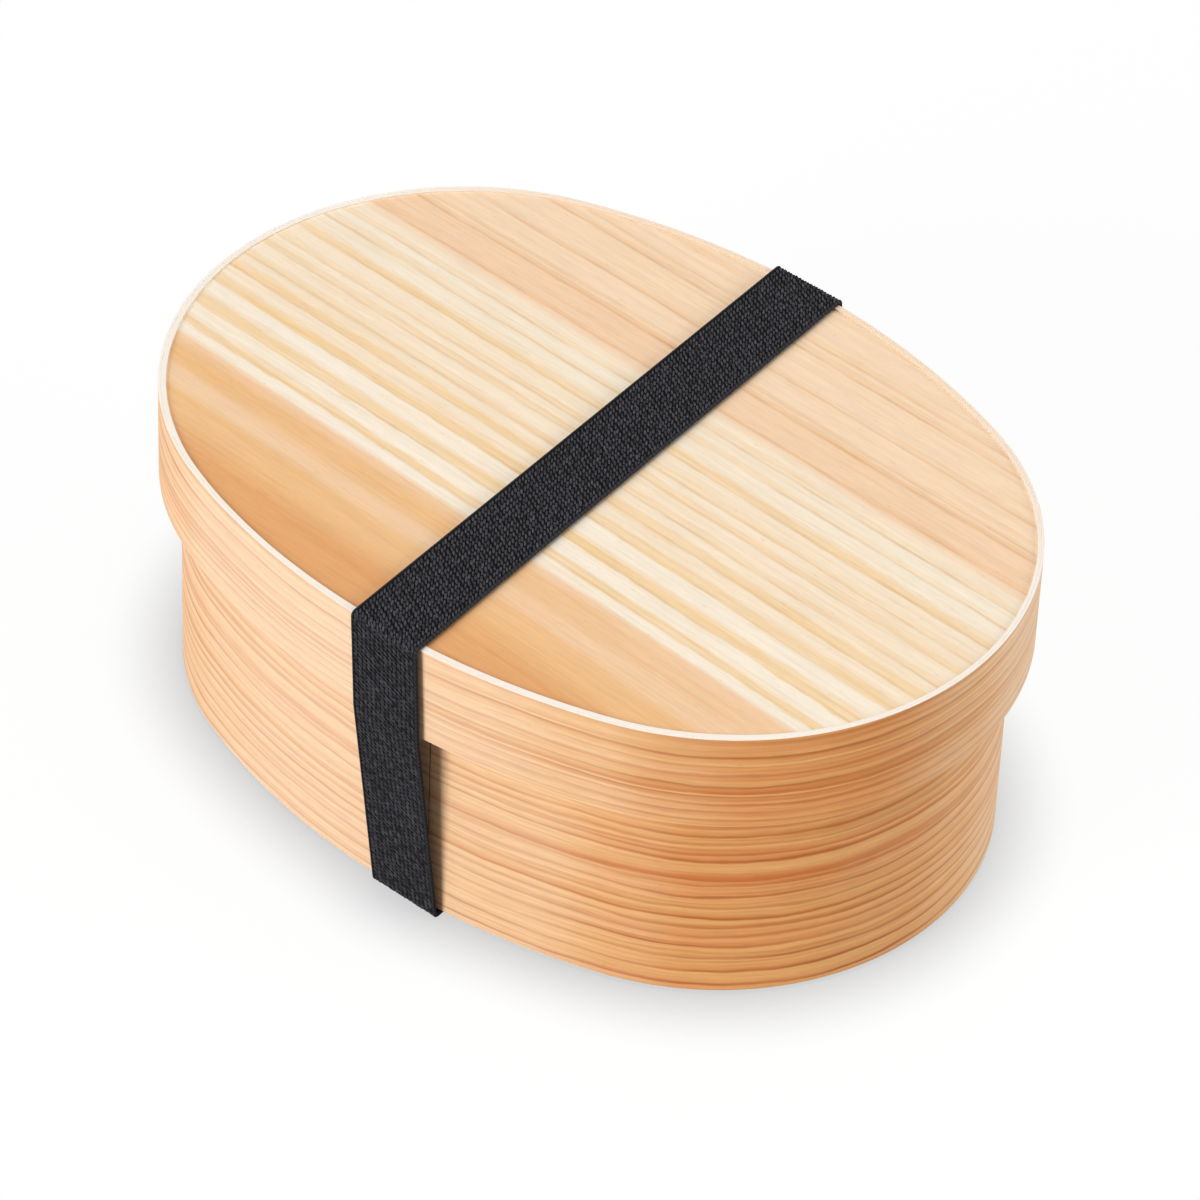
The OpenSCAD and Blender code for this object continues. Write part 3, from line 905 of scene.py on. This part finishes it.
class BandPath:
    """The band's loop round the box, as stations along its inner face. One on a side is (side, distance out
    from the box's middle plane, height, facing out, facing up), and one on a flat run is ("over" or "under",
    share of the way along it)."""

    def __init__(self, sizes, band):
        turn_steps, slant_steps, lid_steps, flat_steps = 8, 30, 14, 80
        self.band = band
        self.skew_cos, self.skew_sin = math.cos(band.skew), math.sin(band.skew)
        self.lid_out = sizes.lid_width / 2 + band.wall_gap
        self.lid_edge = low_z("lid_hoop")
        base_out = self.lid_out - base_inset(sizes)
        rim_z = high_z("lid_hoop") + band.rim_gap
        self.rim_turn = (self.lid_out - band.corner_radius, rim_z - band.corner_radius)
        self.foot_turn = (base_out - band.corner_radius, band.thickness + band.corner_radius)
        self.slant = math.atan((self.lid_out - base_out) / (self.lid_edge - self.foot_turn[1]))
        self.foot = self.turn_station(1, self.foot_turn, -self.slant)
        self.middle_z = (rim_z + band.thickness) / 2

        foot_angles = np.linspace(-math.pi / 2, -self.slant, turn_steps + 1)
        slant_heights = np.linspace(self.foot[2], self.lid_edge, slant_steps + 1)[1:-1]
        lid_heights = np.linspace(self.lid_edge, self.rim_turn[1], lid_steps + 1)[1:-1]
        rim_angles = np.linspace(0.0, math.pi / 2, turn_steps + 1)
        edge_way = (math.cos(self.slant / 2), -math.sin(self.slant / 2))
        runs = {}
        for side in (-1, 1):
            run = [self.turn_station(side, self.foot_turn, angle) for angle in foot_angles]
            run += [self.slanted(side, height) for height in slant_heights]
            run.append((side, self.lid_out, self.lid_edge, *edge_way))
            run += [(side, self.lid_out, height, 1.0, 0.0) for height in lid_heights]
            runs[side] = run + [self.turn_station(side, self.rim_turn, angle) for angle in rim_angles]
        shares = np.linspace(0.0, 1.0, flat_steps + 1)[1:-1]
        over, under = ([(run, share) for share in shares] for run in ("over", "under"))
        self.stations = runs[-1] + over + runs[1][::-1] + under

    def turn_station(self, side, centre, angle):
        """A station on a turn over an edge."""
        way, corner = (math.cos(angle), math.sin(angle)), self.band.corner_radius
        return (side, centre[0] + corner * way[0], centre[1] + corner * way[1], *way)

    def slanted(self, side, height):
        """A station on a side's slanted run between the foot and the lid's edge."""
        share = (height - self.foot[2]) / (self.lid_edge - self.foot[2])
        out = self.foot[1] + (self.lid_out - self.foot[1]) * share
        return (side, out, height, math.cos(self.slant), -math.sin(self.slant))

    def strip_place(self, side, out, across, height):
        """Where a distance out from the box's middle meets a line along the leaning band, at a height."""
        line = self.band.middle_x * self.skew_cos + across / math.cos(self.band.lean)
        line -= math.tan(self.band.lean) * (height - self.middle_z)
        return line, (side * out - line * self.skew_sin) / self.skew_cos

    def turned(self, line, run, height):
        """A place on the band's own axes turned to the object's."""
        return line * self.skew_cos - run * self.skew_sin, line * self.skew_sin + run * self.skew_cos, height

    def point(self, station, across, grow):
        """A point of the band, grown out from its inner face."""
        if station[0] in ("over", "under"):
            over = station[0] == "over"
            turn = self.rim_turn if over else self.foot_turn
            corner = self.band.corner_radius + grow
            height = turn[1] + corner if over else turn[1] - corner
            line, front = self.strip_place(-1, turn[0], across, height)
            back = self.strip_place(1, turn[0], across, height)[1]
            share = station[1] if over else 1.0 - station[1]
            return self.turned(line, front + (back - front) * share, height)
        side, out, height, way_out, way_up = station
        height += way_up * grow
        return self.turned(*self.strip_place(side, out + way_out * grow, across, height), height)

    def sheet(self, acrosses, grows, stations=None):
        """Points of a section at every station: [station, point, xyz]."""
        pairs = list(zip(acrosses, grows))
        return np.array([[self.point(s, a, g) for a, g in pairs] for s in stations or self.stations])

    def lengths(self):
        """The distance along the band's outer face to each station, and once round."""
        line = self.sheet([0.0], [self.band.thickness])[:, 0]
        steps = np.linalg.norm(np.diff(line, axis=0, append=line[:1]), axis=1)
        return np.concatenate(((0.0,), np.cumsum(steps)))


def wale_lines(band):
    """Where the wales of yarn lie across the band, and the distance between them."""
    room = band.width - 2 * band.selvage
    count = int(room / band.wale_pitch)
    spacing = room / count
    return [(i - (count - 1) / 2) * spacing for i in range(count)], spacing


def band_section(band):
    """The band's section: a round bead at each selvage, and between them ribs that part the wales."""
    half, bead, steps = band.width / 2, band.thickness / 2, 6
    ground = band.thickness - band.yarn_sink
    half_ring = []
    for angle in np.linspace(-math.pi / 2, math.pi / 2, steps + 1):
        half_ring.append((half - bead + bead * math.cos(angle), bead + bead * math.sin(angle)))
    wales, spacing = wale_lines(band)
    for wale in reversed(wales):
        half_ring += [(wale + spacing / 2, ground + band.rib), (wale, ground)]
    return np.array(half_ring + [(-across, band.thickness - grow) for across, grow in half_ring])


def facings_of(places, closed):
    """Outward facings of a swept sheet whose sections run the same way round."""
    around = np.roll(places, -1, axis=1) - np.roll(places, 1, axis=1)
    if closed:
        onward = np.roll(places, -1, axis=0) - np.roll(places, 1, axis=0)
    else:
        onward = np.gradient(places, axis=0)
    facing = np.cross(onward, around)
    return facing / np.linalg.norm(facing, axis=2, keepdims=True)


def ribbon_mesh(name, path, lengths, sink=0.0, stations=None):
    """The elastic's ground, sunk by a depth: the whole loop, or an open strip through given stations."""
    section = band_section(path.band)
    places = path.sheet(section[:, 0], section[:, 1] - sink, stations)
    closed = stations is None
    grain = swept_grain(lengths, np.append(section[:, 0], section[0, 0]))
    return grid_mesh(name, places, facings_of(places, closed), closed, grain)


def lap_mesh(name, path):
    """The lapped end inside the band's slanted run at the back."""
    band, steps = path.band, 12
    heights = np.linspace(band.lap_low + band.lap_length, band.lap_low, steps + 1)
    stations = [path.slanted(1, height) for height in heights]
    return ribbon_mesh(name, path, np.linspace(0.0, band.lap_length, steps + 1), band.thickness, stations)


def point_cloud(name, places, outs, acrosses):
    """Loose points that carry the way out of the band and the way across it."""
    mesh = bpy.data.meshes.new(name)
    mesh.from_pydata([tuple(p) for p in places], [], [])
    for key, values in (("out", outs), ("across", acrosses)):
        layer = mesh.attributes.new(key, "FLOAT_VECTOR", "POINT")
        layer.data.foreach_set("vector", np.asarray(values, dtype=np.float32).ravel())
    return mesh


def loops_tree():
    """A node tree that lays a rounded loop of yarn on each point, square to the band, turned by a slant."""
    tree = bpy.data.node_groups.new("yarn_loops", "GeometryNodeTree")
    sockets = {
        "Geometry": ["Geometry"],
        "Float": ["Length", "Width", "Height", "Least slant", "Most slant", "Least size"],
        "Int": ["Sides", "Rings"],
        "Material": ["Material"],
    }
    for kind, names in sockets.items():
        for name in names:
            tree.interface.new_socket(name, in_out="INPUT", socket_type=f"NodeSocket{kind}")
    tree.interface.new_socket("Geometry", in_out="OUTPUT", socket_type="NodeSocketGeometry")
    given = tree.nodes.new("NodeGroupInput").outputs
    node = Wiring(tree).node

    round_ball = {"Segments": given["Sides"], "Rings": given["Rings"], "Radius": 0.5}
    ball = node("GeometryNodeMeshUVSphere", round_ball)
    loop = node("GeometryNodeTransform", {"Geometry": ball, "Rotation": (0.0, math.pi / 2, 0.0)})
    out, across = (
        node("GeometryNodeInputNamedAttribute", {"Name": key}, "Attribute", data_type="FLOAT_VECTOR")
        for key in ("out", "across")
    )
    align = "FunctionNodeAlignRotationToVector"
    upright = node(align, {"Vector": out}, axis="Z")
    square = node(align, {"Rotation": upright, "Vector": across}, axis="X", pivot_axis="Z")

    slants = {2: given["Least slant"], 3: given["Most slant"], "Seed": 11}
    angle = node("FunctionNodeRandomValue", slants, 1, data_type="FLOAT")
    slant = node("FunctionNodeAxisAngleToRotation", {"Angle": angle})
    turns = {"Rotation": square, "Rotate By": slant}
    turned = node("FunctionNodeRotateRotation", turns, rotation_space="LOCAL")
    shares = {2: given["Least size"], 3: 1.0, "Seed": 7}
    share = node("FunctionNodeRandomValue", shares, 1, data_type="FLOAT")
    size = node("ShaderNodeCombineXYZ", {0: given["Length"], 1: given["Width"], 2: given["Height"]})
    scale = node("ShaderNodeVectorMath", {0: size, "Scale": share}, operation="SCALE")

    laid = {"Points": given["Geometry"], "Instance": loop, "Rotation": turned, "Scale": scale}
    made = node("GeometryNodeInstanceOnPoints", laid)
    for kind in ("GeometryNodeRealizeInstances", "GeometryNodeSetShadeSmooth", "GeometryNodeSetMaterial"):
        made = node(kind, {0: made})
    tree.links.new(given["Material"], made.node.inputs["Material"])
    tree.links.new(made, tree.nodes.new("NodeGroupOutput").inputs["Geometry"])
    return tree


def grow_loops(name, points, material, settings):
    """Runs the yarn tree on points with its settings and returns its plain mesh as a piece."""
    tree = bpy.data.node_groups.get("yarn_loops") or loops_tree()
    carrier = add_piece(f"{name}_points", points, None)
    modifier = carrier.modifiers.new("loops", "NODES")
    modifier.node_group = tree
    sockets = {item.name: item.identifier for item in tree.interface.items_tree if item.in_out == "INPUT"}
    for key, value in {**settings, "Material": material}.items():
        modifier[sockets[key]] = value
    depsgraph = bpy.context.evaluated_depsgraph_get()
    mesh = bpy.data.meshes.new_from_object(carrier.evaluated_get(depsgraph))
    mesh.name = name
    for key in ("out", "across"):
        if mesh.attributes.get(key):
            mesh.attributes.remove(mesh.attributes[key])
    bpy.data.objects.remove(carrier)
    return add_piece(name, mesh, material)


def knit_points(path, band, outside):
    """Where the yarn floats lie on one face of the band, with the ways out of it and across it."""
    nudge, most_stray = 0.1 * MM, 0.14
    lengths = path.lengths()
    grow = band.thickness - band.yarn_sink if outside else band.yarn_sink
    courses = int(lengths[-1] / band.course_pitch)
    pitch = lengths[-1] / courses
    stray = np.random.default_rng(5)
    places, outs, ways = [], [], []
    for wale, across in enumerate(wale_lines(band)[0]):
        line = path.sheet([across], [grow])[:, 0]
        beyond = path.sheet([across], [grow + nudge])[:, 0]
        beside = path.sheet([across + nudge], [grow])[:, 0]
        strays = stray.uniform(-most_stray, most_stray, courses)
        spots = np.clip((np.arange(courses) + 0.5 * (wale % 2) + strays) * pitch, 0.0, lengths[-1])
        for series, kept in ((line, places), (beyond - line, outs), (beside - line, ways)):
            loop = np.concatenate((series, series[:1]))
            kept.append(np.stack([np.interp(spots, lengths, loop[:, axis]) for axis in range(3)], axis=1))
    sign = 1.0 if outside else -1.0
    return np.concatenate(places), sign * np.concatenate(outs), np.concatenate(ways)


def band_flex(piece):
    """Moves a piece of the band's place into its mesh and makes it move with the band."""
    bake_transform(piece)
    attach(piece, "band")


class LUNCHBOX_OT_band(bpy.types.Operator):
    """Make the knitted elastic band that holds the lid on"""

    bl_idname = "lunchbox.band"
    bl_label = "Elastic Band"

    def execute(self, context):
        band = context.scene.band_sizes
        path = BandPath(context.scene.bentwood_sizes, band)
        lengths = path.lengths()
        ground, yarn = band_ground_finish(band), yarn_finish("band_yarn", band)
        ribbon = add_piece("elastic_band", ribbon_mesh("elastic_band", path, lengths), ground)
        lap = add_piece("elastic_band_lap", lap_mesh("elastic_band_lap", path), ground)
        pieces = [ribbon, lap]
        floats = {
            "Length": band.yarn_length,
            "Width": band.yarn_width,
            "Height": 2 * band.yarn_sink,
            "Least slant": band.yarn_slant - band.slant_spread,
            "Most slant": band.yarn_slant + band.slant_spread,
            "Least size": 0.75,
            "Sides": 6,
            "Rings": 4,
        }
        for name, outside in (("band_knit_outside", True), ("band_knit_inside", False)):
            points = point_cloud(name, *knit_points(path, band, outside))
            pieces.append(grow_loops(name, points, yarn, floats))
        for piece in pieces:
            band_flex(piece)
        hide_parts("band_over_lid", "band_under_base")
        return {"FINISHED"}


class LUNCHBOX_OT_band_stitching(bpy.types.Operator):
    """Sew the band's lap at the back with rows of thread"""

    bl_idname = "lunchbox.band_stitching"
    bl_label = "Band Stitching"

    def execute(self, context):
        band = context.scene.band_sizes
        path = BandPath(context.scene.bentwood_sizes, band)
        places, outs, ways = [], [], []
        for row in range(band.stitch_rows):
            station = path.slanted(1, band.lap_low + band.lap_length * (row + 0.5) / band.stitch_rows)
            for i in range(band.stitches):
                across = (i - (band.stitches - 1) / 2) * band.width / band.stitches
                spot = Vector(path.point(station, across, band.thickness))
                places.append(spot)
                outs.append(Vector(path.point(station, across, band.thickness + MM)) - spot)
                ways.append(Vector(path.point(station, across + MM, band.thickness)) - spot)
        stitches = {
            "Length": band.stitch_length,
            "Width": band.thread,
            "Height": band.thread,
            "Least slant": 0.0,
            "Most slant": 0.0,
            "Least size": 1.0,
            "Sides": 12,
            "Rings": 10,
        }
        name = "band_lap_stitching"
        points = point_cloud(name, places, outs, ways)
        thread = grow_loops(name, points, yarn_finish("sewing_thread", band), stitches)
        band_flex(thread)
        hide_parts("band_stitching")
        return {"FINISHED"}


# The stage

# Soft square lamps that face the box: (name, place, width), in metres
LAMPS = (
    ("key", (-0.58, -2.74, 1.12), 1.3),
    ("top", (0.1, 0.35, 3.0), 2.0),
    ("edge", (2.47, 1.42, 0.95), 1.2),
)
LAMP_AIM = (0.0, 0.0, 0.04)


class LUNCHBOX_OT_stage(bpy.types.Operator):
    """Lay the floor, hang the lamps and place the camera"""

    bl_idname = "lunchbox.stage"
    bl_label = "Stage"

    def execute(self, context):
        scene, stage = context.scene, context.scene.stage_settings
        scene.view_settings.view_transform = "Standard"
        self.lay_floor(stage)
        self.light(scene, stage)
        self.place_camera(scene, stage)
        return {"FINISHED"}

    @staticmethod
    def lay_floor(stage):
        reach = 4.0
        mesh = bpy.data.meshes.new("floor")
        corners = [(-reach, -reach, 0.0), (reach, -reach, 0.0), (reach, reach, 0.0), (-reach, reach, 0.0)]
        mesh.from_pydata(corners, [], [(0, 1, 2, 3)])
        floor = add_piece("floor", mesh, floor_finish(stage))

    @staticmethod
    def light(scene, stage):
        world = bpy.data.worlds.new("studio")
        world.use_nodes = True
        wires = Wiring(world.node_tree)
        sky = world.node_tree.nodes["Background"]
        wires.feed(sky.inputs["Color"], (1.0, 1.0, 1.0))
        wires.feed(sky.inputs["Strength"], wires.math("MAXIMUM", wires.seen(), stage.sky))
        scene.world = world
        for name, place, width in LAMPS:
            data = bpy.data.lights.new(name, "AREA")
            data.size = width
            data.energy = getattr(stage, f"{name}_power")
            lamp = bpy.data.objects.new(name, data)
            lamp.location = place
            lamp.rotation_euler = (Vector(LAMP_AIM) - Vector(place)).to_track_quat("-Z", "Y").to_euler()
            scene.collection.objects.link(lamp)

    @staticmethod
    def place_camera(scene, stage):
        turn, rise = stage.azimuth, stage.elevation
        back = Vector((math.sin(turn) * math.cos(rise), -math.cos(turn) * math.cos(rise), math.sin(rise)))
        right = Vector((math.cos(turn), math.sin(turn), 0.0))
        level = Matrix((right, back.cross(right), back)).transposed()
        data = bpy.data.cameras.new("camera")
        data.lens = stage.lens
        data.sensor_width = stage.sensor
        data.clip_start, data.clip_end = 0.1, 20.0
        camera = bpy.data.objects.new("camera", data)
        camera.matrix_world = Matrix.LocRotScale(
            Vector(stage.target) + back * stage.distance,
            (level @ Matrix.Rotation(stage.roll, 3, "Z")).to_quaternion(),
            None,
        )
        scene.collection.objects.link(camera)
        scene.camera = camera


# The panel and registration


OPERATORS = (
    LUNCHBOX_OT_lid_board,
    LUNCHBOX_OT_lid_wall,
    LUNCHBOX_OT_base_wall,
    LUNCHBOX_OT_base_board,
    LUNCHBOX_OT_divider,
    LUNCHBOX_OT_band,
    LUNCHBOX_OT_band_stitching,
    LUNCHBOX_OT_stage,
)
SETTINGS = {
    "bentwood_sizes": BentwoodSizes,
    "wood_colours": WoodColours,
    "band_sizes": BandSizes,
    "stage_settings": StageSettings,
}


class LUNCHBOX_PT_sidebar(bpy.types.Panel):
    """Lists the pieces and the values that they are made from"""

    bl_idname = "LUNCHBOX_PT_sidebar"
    bl_label = "Bentwood Lunch Box"
    bl_space_type = "VIEW_3D"
    bl_region_type = "UI"
    bl_category = "Lunch Box"

    def draw(self, context):
        for operator in OPERATORS:
            self.layout.operator(operator.bl_idname)
        for key, group in SETTINGS.items():
            box = self.layout.box()
            box.label(text=group.__doc__)
            for name in group.__annotations__:
                box.prop(getattr(context.scene, key), name)


CLASSES = (*SETTINGS.values(), *OPERATORS, LUNCHBOX_PT_sidebar)


def register():
    for cls in CLASSES:
        bpy.utils.register_class(cls)
    for key, group in SETTINGS.items():
        setattr(bpy.types.Scene, key, PointerProperty(type=group))


def unregister():
    for key in SETTINGS:
        delattr(bpy.types.Scene, key)
    for cls in reversed(CLASSES):
        bpy.utils.unregister_class(cls)


def main():
    register()
    bpy.ops.lunchbox.lid_board()
    bpy.ops.lunchbox.lid_wall()
    bpy.ops.lunchbox.base_wall()
    bpy.ops.lunchbox.base_board()
    bpy.ops.lunchbox.divider()
    bpy.ops.lunchbox.band()
    bpy.ops.lunchbox.band_stitching()
    bpy.ops.lunchbox.stage()


if __name__ == "__main__":
    main()
